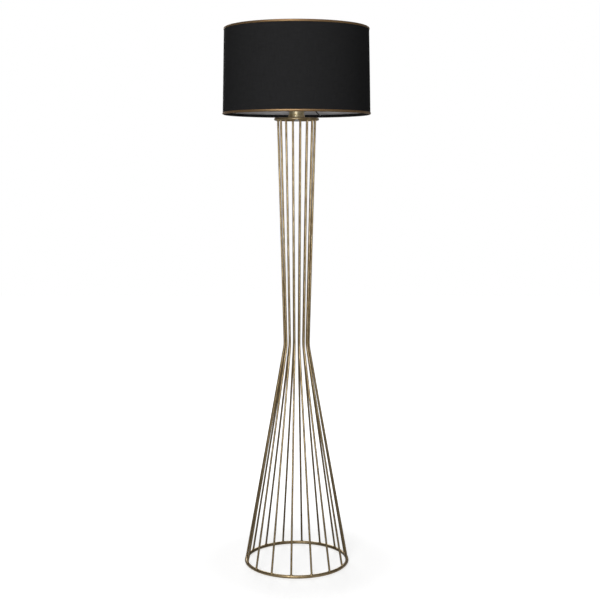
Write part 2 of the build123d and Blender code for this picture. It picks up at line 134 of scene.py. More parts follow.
def antiqueBrass():
    # Steel wire, brass plated, toned brown and lacquered: a soft metal gloss over a cloudy brown,
    # darker beside the lower welds, with painted shade low on the cage, most on its inward faces
    material, tree = newMaterial("antiqueBrass")
    place = addNode(tree, "TexCoord").outputs["Object"]
    cloud = addNode(tree, "TexNoise", {
        "Vector": place, "Scale": perMetre(brassLook["cloud"]), "Detail": 5.0, "Roughness": 0.62,
    })
    tone = addNode(tree, "ValToRGB", {"Fac": cloud.outputs["Fac"]}, stops=[
        (0.30, brassLook["dark"]), (0.50, brassLook["warm"]), (0.72, brassLook["pale"]),
    ])
    speck = addNode(tree, "TexNoise", {
        "Vector": place, "Scale": perMetre(brassLook["speck"]), "Detail": 3.0,
    })
    spotted = addNode(tree, "MapRange", {
        "Value": speck.outputs["Fac"], "From Min": 0.60, "From Max": 0.75,
        "To Max": brassLook["speckTone"],
    })
    height = addNode(tree, "SeparateXYZ", {"Vector": place}).outputs["Z"]
    # darker beside the lower welds
    overFoot = addNode(tree, "Math", {0: height, 1: brassLook["weldAt"] * mm}, operation="SUBTRACT")
    fromFoot = addNode(tree, "Math", {0: overFoot.outputs[0]}, operation="ABSOLUTE")
    footDarkening = addNode(tree, "MapRange", {
        "Value": fromFoot.outputs[0], "From Min": 0.001, "From Max": brassLook["weldFade"] * mm,
        "To Min": brassLook["weldDarkening"], "To Max": 0.0,
    }, interpolation_type="SMOOTHSTEP")
    # painted shade: darker low on the cage, and more so on faces that turn inwards
    outward = addNode(tree, "VectorMath", {0: place, 1: (1, 1, 0)}, operation="MULTIPLY")
    outward = addNode(tree, "VectorMath", {0: outward.outputs[0]}, operation="NORMALIZE")
    facing = addNode(tree, "VectorMath", {
        0: outward.outputs[0], 1: addNode(tree, "NewGeometry").outputs["Normal"],
    }, operation="DOT_PRODUCT")
    outside, inside = brassLook["paintedShadeLow"]
    inwards = addNode(tree, "MapRange", {
        "Value": facing.outputs["Value"], "From Min": 0.1, "From Max": -0.7,
        "To Min": outside, "To Max": inside,
    }, interpolation_type="SMOOTHSTEP")
    below = addNode(tree, "MapRange", {
        "Value": height, "From Min": brassLook["lowFrom"] * mm, "From Max": brassLook["lowTo"] * mm,
    })
    lowShadePainted = addNode(tree, "Math", {0: inwards.outputs[0], 1: below.outputs[0]}, operation="MULTIPLY")
    shaded = addNode(tree, "Math", {0: footDarkening.outputs[0], 1: lowShadePainted.outputs[0]}, operation="MAXIMUM")
    burntAndShade = addNode(tree, "Math", {0: shaded.outputs[0], 1: spotted.outputs[0]}, operation="MAXIMUM")
    colour = addNode(tree, "MixRGB", {
        "Fac": burntAndShade.outputs[0], "Color1": tone.outputs["Color"],
        "Color2": linearColour(brassLook["burntAndShade"]),
    })
    low, high = brassLook["roughness"]
    rough = addNode(tree, "MapRange", {
        "Value": cloud.outputs["Fac"], "From Min": 0.3, "From Max": 0.7, "To Min": high, "To Max": low,
    })
    thin, long = perMetre(brassLook["drawn"]), perMetre(brassLook["drawnLong"])
    along = addNode(tree, "Mapping", {"Vector": place, "Scale": (thin, thin, long)})
    marks = addNode(tree, "TexNoise", {"Vector": along.outputs[0], "Scale": 1.0, "Detail": 2.0})
    bump = addNode(tree, "Bump", {
        "Height": marks.outputs["Fac"], "Strength": 0.25, "Distance": brassLook["drawnDepth"] * mm,
    })
    shader = addNode(tree, "BsdfPrincipled", {
        "Base Color": colour.outputs[0], "Metallic": 1.0, "Roughness": rough.outputs[0],
        "Coat Weight": 0.15, "Coat Roughness": 0.25, "Normal": bump.outputs[0],
    })
    addNode(tree, "OutputMaterial", {"Surface": shader.outputs[0]})
    return material


turnedLook = {  # pale colour, deep colour, roughness, mm from mark to mark
    "turnedBrass": ("#fdf0cc", "#f3e1b4", 0.42, 0.25),
    "zincPlatedSteel": ("#c3c6c8", "#a3a7aa", 0.3, 0.4),
    "springBrass": ("#d3b36c", "#bd9a52", 0.24, 0.3),
    "capAluminium": ("#d2d3d3", "#b9bbbc", 0.28, 0.3),
    "solderTin": ("#b4b3ad", "#96958f", 0.38, 0.8),
}
turnedMarks = {
    "across": 60,  # per metre across the axis, so few that the marks run round it
    "depth": 0.03,  # mm
    "stain": 7,
}


def turnedMetal(name):
    # Metal turned on a lathe: fine rings round its axis that draw the highlight out
    pale, deep, roughness, markSize = turnedLook[name]
    material, tree = newMaterial(name)
    place = addNode(tree, "TexCoord").outputs["Object"]
    wide = turnedMarks["across"]
    rings = addNode(tree, "Mapping", {"Vector": place, "Scale": (wide, wide, perMetre(markSize))})
    marks = addNode(tree, "TexNoise", {"Vector": rings.outputs[0], "Scale": 1.0, "Detail": 3.0})
    stain = addNode(tree, "TexNoise", {
        "Vector": place, "Scale": perMetre(turnedMarks["stain"]), "Detail": 4.0,
    })
    colour = addNode(tree, "ValToRGB", {"Fac": stain.outputs["Fac"]}, stops=[(0.35, deep), (0.65, pale)])
    rough = addNode(tree, "MapRange", {
        "Value": marks.outputs["Fac"], "To Min": roughness * 0.8, "To Max": roughness * 1.25,
    })
    bump = addNode(tree, "Bump", {
        "Height": marks.outputs["Fac"], "Strength": 0.2, "Distance": turnedMarks["depth"] * mm,
    })
    shader = addNode(tree, "BsdfPrincipled", {
        "Base Color": colour.outputs["Color"], "Metallic": 1.0, "Roughness": rough.outputs[0],
        "Normal": bump.outputs[0],
    })
    addNode(tree, "OutputMaterial", {"Surface": shader.outputs[0]})
    return material


coatLook = {
    "dark": "#0f0f10",
    "light": "#1a1a1b",
    "peel": 0.9,  # mm
    "peelDepth": 0.06,
    "roughness": 0.42,
}


def powderCoat():
    # Steel wire under black powder coat: deep black, satin, with a faint orange peel
    material, tree = newMaterial("blackPowderCoat")
    place = addNode(tree, "TexCoord").outputs["Object"]
    peel = addNode(tree, "TexNoise", {"Vector": place, "Scale": perMetre(coatLook["peel"]), "Detail": 2.0})
    colour = addNode(tree, "ValToRGB", {"Fac": peel.outputs["Fac"]}, stops=[
        (0.3, coatLook["dark"]), (0.7, coatLook["light"]),
    ])
    bump = addNode(tree, "Bump", {
        "Height": peel.outputs["Fac"], "Strength": 0.4, "Distance": coatLook["peelDepth"] * mm,
    })
    shader = addNode(tree, "BsdfPrincipled", {
        "Base Color": colour.outputs["Color"], "Roughness": coatLook["roughness"], "Normal": bump.outputs[0],
    })
    addNode(tree, "OutputMaterial", {"Surface": shader.outputs[0]})
    return material


# Fabric, film and tape

clothLook = {
    "thread": 0.55,  # mm between threads
    "dark": "#1a1a1b",
    "light": "#2d2d2e",
    "slubLong": 34,
    "slubWide": 1.1,
    "uneven": 6,  # over which the threads stray
    "depth": 0.12,
    "roughness": 0.75,
}


def wovenCotton():
    # Black plain-woven cotton, glued to film: matt, with a fine grid of threads and faint long slubs
    material, tree = newMaterial("wovenCotton")
    lengths = addNode(tree, "TexCoord").outputs["UV"]
    uneven = addNode(tree, "TexNoise", {
        "Vector": lengths, "Scale": perMetre(clothLook["uneven"]), "Detail": 2.0,
    })
    threads = addNode(tree, "VectorMath", {
        0: lengths, "Scale": perMetre(clothLook["thread"]),
    }, operation="SCALE")
    shifted = addNode(tree, "VectorMath", {
        0: threads.outputs[0], 1: uneven.outputs["Color"],
    }, operation="ADD")
    parts = addNode(tree, "SeparateXYZ", {"Vector": shifted.outputs[0]})
    ridges = []
    for direction in ("X", "Y"):
        turn = addNode(tree, "Math", {0: parts.outputs[direction], 1: pi}, operation="MULTIPLY")
        wave = addNode(tree, "Math", {0: turn.outputs[0]}, operation="SINE")
        ridges.append(addNode(tree, "Math", {0: wave.outputs[0]}, operation="ABSOLUTE").outputs[0])
    cells = addNode(tree, "CombineXYZ", {"X": parts.outputs["X"], "Y": parts.outputs["Y"], "Z": 0.5})
    over = addNode(tree, "TexChecker", {"Vector": cells.outputs[0], "Scale": 1.0})
    weave = addNode(tree, "Mix", {0: over.outputs["Fac"], 2: ridges[0], 3: ridges[1]})
    long, wide = perMetre(clothLook["slubLong"]), perMetre(clothLook["slubWide"])
    slubs = []
    for scale in ((long, wide, 1), (wide, long, 1)):
        drawn = addNode(tree, "Mapping", {"Vector": lengths, "Scale": scale})
        streaks = addNode(tree, "TexNoise", {"Vector": drawn.outputs[0], "Scale": 1.0, "Detail": 1.0})
        slubs.append(streaks.outputs["Fac"])
    slub = addNode(tree, "Math", {0: slubs[0], 1: slubs[1]}, operation="ADD")
    height = addNode(tree, "Math", {
        0: slub.outputs[0], 1: 0.9, 2: weave.outputs[0],
    }, operation="MULTIPLY_ADD")
    # the colour follows the cloth's height: a painted highlight on the raised threads, painted shade between
    # them, and the long slubs' own tone
    colour = addNode(tree, "ValToRGB", {
        "Fac": addNode(tree, "MapRange", {
            "Value": height.outputs[0], "From Min": 0.6, "From Max": 2.0,
        }).outputs[0],
    }, stops=[(0.1, clothLook["dark"]), (0.9, clothLook["light"])])
    bump = addNode(tree, "Bump", {
        "Height": height.outputs[0], "Strength": 0.5, "Distance": clothLook["depth"] * mm,
    })
    shader = addNode(tree, "BsdfPrincipled", {
        "Base Color": colour.outputs["Color"], "Roughness": clothLook["roughness"],
        "Specular IOR Level": 0.05, "Normal": bump.outputs[0],
    })
    addNode(tree, "OutputMaterial", {"Surface": shader.outputs[0]})
    return material


filmLook = {
    "dark": "#d1cfd1",
    "light": "#d9d7d8",
    "grain": 0.8,  # mm
    "grainDepth": 0.05,
    "wave": 45,
    "roughness": 0.4,
}


def laminateFilm():
    # Calendered PVC film: pale, satin, with the cloth behind it showing as a faint grain
    material, tree = newMaterial("laminateFilm")
    lengths = addNode(tree, "TexCoord").outputs["UV"]
    grain = addNode(tree, "TexNoise", {
        "Vector": lengths, "Scale": perMetre(filmLook["grain"]), "Detail": 3.0,
    })
    waves = addNode(tree, "TexNoise", {"Vector": lengths, "Scale": perMetre(filmLook["wave"]), "Detail": 2.0})
    colour = addNode(tree, "ValToRGB", {"Fac": waves.outputs["Fac"]}, stops=[
        (0.3, filmLook["dark"]), (0.7, filmLook["light"]),
    ])
    bump = addNode(tree, "Bump", {
        "Height": grain.outputs["Fac"], "Strength": 0.3, "Distance": filmLook["grainDepth"] * mm,
    })
    shader = addNode(tree, "BsdfPrincipled", {
        "Base Color": colour.outputs["Color"], "Roughness": filmLook["roughness"], "Normal": bump.outputs[0],
    })
    addNode(tree, "OutputMaterial", {"Surface": shader.outputs[0]})
    return material


tapeLook = {
    "bright": "#b5946a",
    "deep": "#57391f",
    "rib": 0.9,  # mm from rib to rib
    "yarn": 0.32,
    "depth": 0.06,
    "metallic": 0.8,
    "roughness": 0.42,
}


def metallisedTape():
    # Ribbed tape woven from gold metallised yarn: a thread of light along its crown, brown in its folds
    material, tree = newMaterial("goldTape")
    lengths = addNode(tree, "TexCoord").outputs["UV"]
    parts = addNode(tree, "SeparateXYZ", {"Vector": lengths})
    turn = addNode(tree, "Math", {
        0: parts.outputs["X"], 1: 2 * pi * perMetre(tapeLook["rib"]),
    }, operation="MULTIPLY")
    rib = addNode(tree, "Math", {0: turn.outputs[0]}, operation="SINE")
    yarns = addNode(tree, "TexNoise", {
        "Vector": lengths, "Scale": perMetre(tapeLook["yarn"]), "Detail": 2.0,
    })
    height = addNode(tree, "Math", {
        0: yarns.outputs["Fac"], 1: 1.6, 2: rib.outputs[0],
    }, operation="MULTIPLY_ADD")
    # the colour follows the tape's height: a painted highlight on the ribs, painted shade in the troughs
    # between them, and the yarns' own random tone
    colour = addNode(tree, "ValToRGB", {
        "Fac": addNode(tree, "MapRange", {
            "Value": height.outputs[0], "From Min": -0.4, "From Max": 2.0,
        }).outputs[0],
    }, stops=[(0.05, tapeLook["deep"]), (0.75, tapeLook["bright"])])
    bump = addNode(tree, "Bump", {
        "Height": height.outputs[0], "Strength": 0.35, "Distance": tapeLook["depth"] * mm,
    })
    shader = addNode(tree, "BsdfPrincipled", {
        "Base Color": colour.outputs["Color"], "Metallic": tapeLook["metallic"],
        "Roughness": tapeLook["roughness"], "Normal": bump.outputs[0],
    })
    addNode(tree, "OutputMaterial", {"Surface": shader.outputs[0]})
    return material


# Porcelain, plastic, glass

porcelainLook = {
    "dark": "#dcd8cd",
    "light": "#eeebe3",
    "pit": 1.5,  # mm
    "pitDepth": 0.05,
    "roughness": 0.12,
}


def glazedPorcelain():
    # Pressed porcelain, glazed: warm white with a hard gloss and tiny pits
    material, tree = newMaterial("glazedPorcelain")
    place = addNode(tree, "TexCoord").outputs["Object"]
    pits = addNode(tree, "TexNoise", {
        "Vector": place, "Scale": perMetre(porcelainLook["pit"]), "Detail": 2.0,
    })
    colour = addNode(tree, "ValToRGB", {"Fac": pits.outputs["Fac"]}, stops=[
        (0.3, porcelainLook["dark"]), (0.7, porcelainLook["light"]),
    ])
    bump = addNode(tree, "Bump", {
        "Height": pits.outputs["Fac"], "Strength": 0.2, "Distance": porcelainLook["pitDepth"] * mm,
    })
    shader = addNode(tree, "BsdfPrincipled", {
        "Base Color": colour.outputs["Color"], "Roughness": porcelainLook["roughness"], "IOR": 1.54,
        "Normal": bump.outputs[0],
    })
    addNode(tree, "OutputMaterial", {"Surface": shader.outputs[0]})
    return material


mouldedLook = {  # dark colour, light colour, roughness, IOR
    "mouldedNylon": ("#151516", "#1f1f21", 0.45, 1.53),
    "blackGlass": ("#09090b", "#141417", 0.1, 1.52),
    "phosphorGel": ("#d79a1f", "#ecb53a", 0.5, 1.41),
}
mouldedSkin = {
    "cloud": 2.5,  # mm
    "depth": 0.04,
}


def mouldedSolid(name):
    # Moulded or fired smooth: an even colour with a faint cloud, and a soft skin
    dark, light, roughness, ior = mouldedLook[name]
    material, tree = newMaterial(name)
    place = addNode(tree, "TexCoord").outputs["Object"]
    cloud = addNode(tree, "TexNoise", {
        "Vector": place, "Scale": perMetre(mouldedSkin["cloud"]), "Detail": 3.0,
    })
    colour = addNode(tree, "ValToRGB", {"Fac": cloud.outputs["Fac"]}, stops=[(0.3, dark), (0.7, light)])
    bump = addNode(tree, "Bump", {
        "Height": cloud.outputs["Fac"], "Strength": 0.15, "Distance": mouldedSkin["depth"] * mm,
    })
    shader = addNode(tree, "BsdfPrincipled", {
        "Base Color": colour.outputs["Color"], "Roughness": roughness, "IOR": ior,
        "Normal": bump.outputs[0],
    })
    addNode(tree, "OutputMaterial", {"Surface": shader.outputs[0]})
    return material


glassLook = {
    "tint": "#fbfdfc",
    "wave": 22,  # mm
    "waveDepth": 0.2,
    "roughness": 0.02,
}


def blownGlass():
    # Blown soda-lime glass: clear, with long soft waves in its skin
    material, tree = newMaterial("blownGlass")
    place = addNode(tree, "TexCoord").outputs["Object"]
    waves = addNode(tree, "TexNoise", {"Vector": place, "Scale": perMetre(glassLook["wave"]), "Detail": 1.0})
    bump = addNode(tree, "Bump", {
        "Height": waves.outputs["Fac"], "Strength": 0.15, "Distance": glassLook["waveDepth"] * mm,
    })
    shader = addNode(tree, "BsdfPrincipled", {
        "Base Color": linearColour(glassLook["tint"]), "Roughness": glassLook["roughness"], "IOR": 1.52,
        "Transmission Weight": 1.0, "Normal": bump.outputs[0],
    })
    addNode(tree, "OutputMaterial", {"Surface": shader.outputs[0]})
    return material


slotFinish = {
    "cage_brass": antiqueBrass(),
    "holder_brass": turnedMetal("turnedBrass"),
    "zinc_steel": turnedMetal("zincPlatedSteel"),
    "contact_brass": turnedMetal("springBrass"),
    "cap_metal": turnedMetal("capAluminium"),
    "tip_metal": turnedMetal("solderTin"),
    "shade_wire": powderCoat(),
    "shade_fabric": wovenCotton(),
    "shade_laminate": laminateFilm(),
    "edge_tape": metallisedTape(),
    "porcelain": glazedPorcelain(),
    "bush_plastic": mouldedSolid("mouldedNylon"),
    "cap_glass": mouldedSolid("blackGlass"),
    "filament": mouldedSolid("phosphorGel"),
    "bulb_glass": blownGlass(),
}
for part in frame["record"]["subparts"]:
    mesh = frame["nodes"][part["node"]].data
    mesh.materials.clear()
    mesh.materials.append(slotFinish[part["material_slot"]])
print("materials made:", len(slotFinish))


# Shade

shadeForm = {  # mm where no note says otherwise
    "bottomRadius": 216.0,
    "topRadius": 210.5,
    "fabric": 0.5,
    "film": 0.4,
    "hemDepth": 8.0,
    "hemWidth": 6.5,  # from the outer face to the inner face of the hem
    "hemRound": 2.4,
    "seamAt": 187.0,  # degrees from the front
    "seamWidth": 12.0,
    "seamEase": 30.0,  # over which the upper layer climbs the lower one
    "seamDrop": 0.6,  # degrees over which its cut edge falls
    "wander": 0.35,  # how far the drum strays from round
    "wanderRate": (1.3, 6),  # how fast, round the drum and per metre of height
    "pucker": 0.22,  # of the turned-in edge
    "puckerRate": (30, 90),
    "snipWidth": 5.0,  # slit in the hem for each arm of the spider
    "snipDepth": 6.2,
    "snipEase": 1.2,
    "snipStep": 0.25,  # degrees between the columns beside an arm
    "snipSteps": 6,
    "liningGap": 0.05,  # between cover and lining
    "liningShort": 0.1,  # from the end of the hem's round to the lining's edge
    "liningRows": 26,
    "rowStep": 9.0,  # between the rows of the cover's wall
    "hemRows": 4,
    "columns": 480,
}
armAngles = (40.0, 160.0, 280.0)  # the spider's arms, in degrees from the front

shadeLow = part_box("shade_cover")[0].z
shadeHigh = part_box("shade_cover")[1].z
ringLow = sum(corner.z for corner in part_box("shade_bottom_ring")) / 2
ringHigh = sum(corner.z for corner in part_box("shade_top_ring")) / 2
ringInset = (shadeForm["hemWidth"] - shadeForm["fabric"]) / 2 * mm


def shadeRadius(height):
    share = (height - shadeLow) / (shadeHigh - shadeLow)
    return (shadeForm["bottomRadius"] + (shadeForm["topRadius"] - shadeForm["bottomRadius"]) * share) * mm


def drumWander(angle, height):  # slow, shared by every layer of the shade
    around, upward = shadeForm["wanderRate"]
    return shadeForm["wander"] * mm * noise.noise(polar(around, angle, height * upward))


def roundPath(corners, radius, steps=5):  # straight runs joined by arcs
    path = [corners[0]]
    for before, corner, after in zip(corners, corners[1:], corners[2:]):
        here = Vector(corner)
        back = (Vector(before) - here).normalized()
        on = (Vector(after) - here).normalized()
        centre = here + (back + on) * radius
        for step in range(steps + 1):
            turn = pi / 2 * step / steps
            path.append(tuple(centre - on * radius * cos(turn) - back * radius * sin(turn)))
    return path + [corners[-1]]


def stripSection(path, thickness):  # the two faces of a strip along a path, as one closed section
    left, right = [], []
    for at, point in enumerate(path):
        before, after = Vector(path[max(at - 1, 0)]), Vector(path[min(at + 1, len(path) - 1)])
        along = (after - before).normalized()
        across = Vector((-along.y, along.x)) * thickness / 2
        left.append(tuple(Vector(point) + across))
        right.append(tuple(Vector(point) - across))
    return left + right[::-1]


def sweepStrip(name, section, angles, place, reference):
    # the section is swept through the angles, open, and its map holds real lengths
    count = len(section)
    vertices = [place(angle, inset, height) for angle in angles for inset, height in section]
    runs = [0.0]
    for here, there in zip(section, section[1:] + section[:1]):
        runs.append(runs[-1] + hypot(there[0] - here[0], there[1] - here[1]))
    faces, spots = [], []
    for row in range(len(angles) - 1):
        left, right = (radians(angles[row + side]) * reference for side in (0, 1))
        for at in range(count):
            after = (at + 1) % count
            here, there = row * count, (row + 1) * count
            faces.append((here + at, here + after, there + after, there + at))
            spots += [(left, runs[at]), (left, runs[at + 1]), (right, runs[at + 1]), (right, runs[at])]
    for start in (0, (len(angles) - 1) * count):
        for at in range(count // 2 - 1):
            corners = (at, at + 1, count - 2 - at, count - 1 - at)
            faces.append(tuple(start + corner for corner in corners))
            spots += [(section[corner][0], section[corner][1]) for corner in corners]
    mesh = bpy.data.meshes.new(name)
    mesh.from_pydata(vertices, [], faces)
    layer = mesh.uv_layers.new(name="lengths")
    layer.data.foreach_set("uv", [value for spot in spots for value in spot])
    return mesh


def sweepAngles(start, overlap, columns):
    # evenly round and past the start, closer together beside the arms
    angles = [start + (360 + overlap) * step / columns for step in range(columns + 1)]
    steps = shadeForm["snipSteps"]
    for arm in armAngles:
        middle = start + (arm - start) % 360
        angles += [middle + step * shadeForm["snipStep"] for step in range(-steps, steps + 1)]
    return sorted(set(round(angle, 4) for angle in angles))


def awayFromRing(inset, height):  # direction in the section, from the wire in the nearest hem
    ring = ringLow if height < (ringLow + ringHigh) / 2 else ringHigh
    rise = min(0, height - ring) if ring == ringLow else max(0, height - ring)
    return Vector((inset - ringInset, rise)).normalized()


seamOverlap = shadeForm["seamWidth"] / shadeForm["bottomRadius"] * 180 / pi
seamEase = shadeForm["seamEase"] / shadeForm["bottomRadius"] * 180 / pi
layers = (shadeForm["fabric"] + shadeForm["film"]) * mm


def placeLaminate(angle, inset, height):  # one layer, whose end lies over its start
    turned = angle - shadeForm["seamAt"]
    lift = layers * smoothStep((turned - 360 + seamEase) / seamEase)
    push = awayFromRing(inset, height) * lift
    radius = shadeRadius(height) - inset + drumWander(angle, height) - push.x
    return polar(radius, angle, height + push.y)


def placeCover(angle, inset, height):
    inner = inset > ringInset
    deep = min(height - shadeLow, shadeHigh - height)
    hem = shadeForm["hemDepth"] * mm
    if inner:
        free = smoothStep(deep / hem)
        around, upward = shadeForm["puckerRate"]
        inset += shadeForm["pucker"] * mm * free * noise.noise(polar(around, angle, height * upward))
        nearest = min(abs((angle - arm + 180) % 360 - 180) for arm in armAngles)
        beside = radians(nearest) * shadeRadius(height) / mm - shadeForm["snipWidth"] / 2
        opened = 1 - smoothStep(beside / shadeForm["snipEase"])
        if height < ringHigh - hem:
            height -= opened * max(0, deep - (shadeForm["hemDepth"] - shadeForm["snipDepth"]) * mm)
    return placeLaminate(angle, inset, height)


def seamBump(angle):  # how far the drum's seam lifts what is glued over it
    past = (angle - shadeForm["seamAt"] + 180) % 360 - 180
    fall = smoothStep((past - seamOverlap) / shadeForm["seamDrop"])
    return layers * smoothStep((past + seamEase) / seamEase) * (1 - fall)


def makeCover():
    wall = shadeForm["fabric"] / 2 * mm
    far = shadeForm["hemWidth"] * mm - wall
    hem = shadeForm["hemDepth"] * mm
    corners = [
        (far, shadeLow + hem), (far, shadeLow + wall), (wall, shadeLow + wall),
        (wall, shadeHigh - wall), (far, shadeHigh - wall), (far, shadeHigh - hem),
    ]
    path = roundPath(corners, shadeForm["hemRound"] * mm - wall)
    dense = []
    for here, there in zip(path, path[1:]):
        steps = max(1, int(hypot(there[0] - here[0], there[1] - here[1]) / (shadeForm["rowStep"] * mm)))
        turnedIn = here[0] > far - mm and there[0] > far - mm
        steps = max(steps, shadeForm["hemRows"] if turnedIn else 1)
        dense += [tuple(Vector(here).lerp(Vector(there), step / steps)) for step in range(steps)]
    dense.append(path[-1])
    angles = sweepAngles(shadeForm["seamAt"], seamOverlap, shadeForm["columns"])
    middle = shadeRadius((shadeLow + shadeHigh) / 2)
    section = stripSection(dense, shadeForm["fabric"] * mm)
    mesh = sweepStrip("shadeCover", section, angles, placeCover, middle)
    cover = newPiece("shadeCover", mesh, "shade", "shade_fabric")
    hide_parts("shade_cover")


def makeLining():
    inset = (shadeForm["fabric"] + shadeForm["film"] / 2 + shadeForm["liningGap"]) * mm
    edge = (shadeForm["hemRound"] + shadeForm["liningShort"]) * mm
    steps = shadeForm["liningRows"]
    tall = shadeHigh - shadeLow - 2 * edge
    path = [(inset, shadeLow + edge + tall * step / steps) for step in range(steps + 1)]
    angles = sweepAngles(shadeForm["seamAt"], seamOverlap, shadeForm["columns"])
    middle = shadeRadius((shadeLow + shadeHigh) / 2)
    section = stripSection(path, shadeForm["film"] * mm)
    mesh = sweepStrip("shadeLining", section, angles, placeLaminate, middle)
    lining = newPiece("shadeLining", mesh, "shade", "shade_laminate")
    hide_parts("shade_lining")


trimForm = {  # mm where no note says otherwise
    "height": 6.0,
    "wrap": 3.0,
    "thickness": 0.4,
    "glue": 0.1,
    "joinAt": 196.0,  # degrees from the front
    "join": 9.0,
    "joinEase": 2.0,  # degrees over which its end climbs its start
    "crown": 0.9,  # how far the tape swells
    "rows": 6,
    "roundSteps": 7,
    "columns": 720,
    "sharpAngle": 50,  # degrees, above which an edge is shaded sharp
}


def makeTrim(name, edge, inwards, node):
    half = trimForm["thickness"] / 2 * mm
    off = trimForm["glue"] * mm + half
    corners = [
        (-off, edge + inwards * trimForm["height"] * mm), (-off, edge - inwards * off),
        (trimForm["wrap"] * mm, edge - inwards * off),
    ]
    path = roundPath(corners, shadeForm["hemRound"] * mm + off, trimForm["roundSteps"])
    start, end, rows = Vector(path[0]), Vector(path[1]), trimForm["rows"]
    path = [tuple(start.lerp(end, step / rows)) for step in range(rows)] + path[1:]
    overlap = trimForm["join"] / shadeForm["bottomRadius"] * 180 / pi

    def placeTape(angle, inset, height):
        turned = angle - trimForm["joinAt"]
        ease = trimForm["joinEase"]
        lift = seamBump(angle) + trimForm["thickness"] * mm * smoothStep((turned - 360 + ease) / ease)
        across = abs(height - edge) / (trimForm["height"] * mm)
        lift += trimForm["crown"] * mm * sin(pi * min(1, across)) * (1 if inset < 0 else 0)
        push = awayFromRing(inset, height) * lift
        radius = shadeRadius(height) - inset + drumWander(angle, height) - push.x
        return polar(radius, angle, height + push.y)

    angles = sweepAngles(trimForm["joinAt"], overlap, trimForm["columns"])
    mesh = sweepStrip(name, stripSection(path, 2 * half), angles, placeTape, shadeRadius(edge))
    trim = newPiece(name, mesh, "shade", "edge_tape", trimForm["sharpAngle"])
    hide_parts(node)


makeCover()
makeLining()
makeTrim("bottomTrim", shadeLow, 1, "shade_bottom_trim")
makeTrim("topTrim", shadeHigh, -1, "shade_top_trim")
print("shade made")


# Welds

footWeld = {  # mm where no note says otherwise
    "ringBar": 10.0,
    "wire": 6.0,
    "wireFoot": 14.0,  # the wire's foot is measured below this height
    "wireLeg": (500.0, 700.0),  # and its leg's direction from its middle between these
    "reachAlong": 2.0,  # along the ring
    "reachAcross": 1.0,
    "rise": 2.6,
    "hollow": 1.5,  # power with which the bead rises to the wire
    "onBar": 0.9,  # share of the bar's half width that it may cover
    "intoWire": 0.2,
    "intoBar": 0.12,
    "root": (0.7, 0.55),  # where it ends inside, in shares of the wire's and the bar's radius
    "ripples": 9,
    "ripple": 0.16,
    "lump": 0.22,
    "lumpRate": (1.4, 3.7),  # how fast, round a bead and from bead to bead
    "columns": 48,
    "rows": 7,
    "sharpAngle": 60,
}


def wireLine(node):  # foot of a wire, and the direction of its lower leg
    points = [vertex.co for vertex in frame["nodes"][node].data.vertices]
    bottom, top = footWeld["wireLeg"]
    low = [point for point in points if point.z < footWeld["wireFoot"] * mm]
    high = [point for point in points if bottom * mm < point.z < top * mm]
    foot = sum(low, Vector()) / len(low)
    return foot, (sum(high, Vector()) / len(high) - foot).normalized()


def makeFootWelds(wires):
    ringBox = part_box("base_ring")
    bar = footWeld["ringBar"] / 2 * mm
    ringRadius, ringCentre = ringBox[1].x - bar, ringBox[1].z - bar
    wireRadius = footWeld["wire"] / 2 * mm
    columns, rows = footWeld["columns"], footWeld["rows"]
    around, onward = footWeld["lumpRate"]
    vertices, faces = [], []
    for number, node in enumerate(wires):
        foot, leg = wireLine(node)
        outward = Vector((foot.x, foot.y, 0)).normalized()
        sideward = Vector((-outward.y, outward.x, 0))
        base = len(vertices)
        for column in range(columns):
            turn = 2 * pi * column / columns
            swell = 1 + footWeld["ripple"] * (2 * abs(sin(turn * footWeld["ripples"] / 2)) - 1)
            spot = Vector((cos(turn) * around, sin(turn) * around, number * onward))
            swell += footWeld["lump"] * noise.noise(spot)
            reach = hypot(footWeld["reachAcross"] * cos(turn), footWeld["reachAlong"] * sin(turn))
            reach = reach * mm * swell
            for row in range(rows + 1):
                share = row / rows
                rise = footWeld["rise"] * mm * swell * share ** footWeld["hollow"]
                spread = wireRadius + reach * (1 - share) - footWeld["intoWire"] * mm * share
                centre = foot + leg * (rise / leg.z)
                spot = centre + (outward * cos(turn) + sideward * sin(turn)) * spread
                beyond = hypot(spot.x, spot.y) - ringRadius - footWeld["onBar"] * bar
                if beyond > 0:  # the bead ends on the bar
                    spot -= outward * beyond
                aside = abs(hypot(spot.x, spot.y) - ringRadius)
                crown = ringCentre + sqrt(max(0, bar ** 2 - aside ** 2))
                vertices.append((spot.x, spot.y, crown + rise - footWeld["intoBar"] * mm * (1 - share)))
            inside = foot + (outward * cos(turn) + sideward * sin(turn)) * wireRadius * footWeld["root"][0]
            vertices.append((inside.x, inside.y, ringCentre + bar * footWeld["root"][1]))
        ring = rows + 2
        for column in range(columns):
            here, there = base + column * ring, base + (column + 1) % columns * ring
            for row in range(ring):
                after = (row + 1) % ring
                faces.append((here + row, there + row, there + after, here + after))
    mesh = bpy.data.meshes.new("footWelds")
    mesh.from_pydata(vertices, [], faces)
    newPiece("footWelds", mesh, "cage", "cage_brass", footWeld["sharpAngle"])


headWeld = {  # mm where no note says otherwise
    "topBar": 7.6,
    "wireTop": 1336.0,  # the wire's top is measured above this height
    "inward": 0.4,  # from the ring's inner face to the middle of a bead
    "below": 2.2,  # and its depth below the ring's middle
    "halfAcross": 1.9,
    "halfAlong": 3.8,
    "halfTall": 3.1,
    "lump": 0.18,
    "ripples": 7,
    "ripple": 0.07,
    "columns": 28,
    "rows": 12,
    "poleGap": 0.35,  # of a row, left open at each end and closed by a flat face
    "sharpAngle": 70,
}


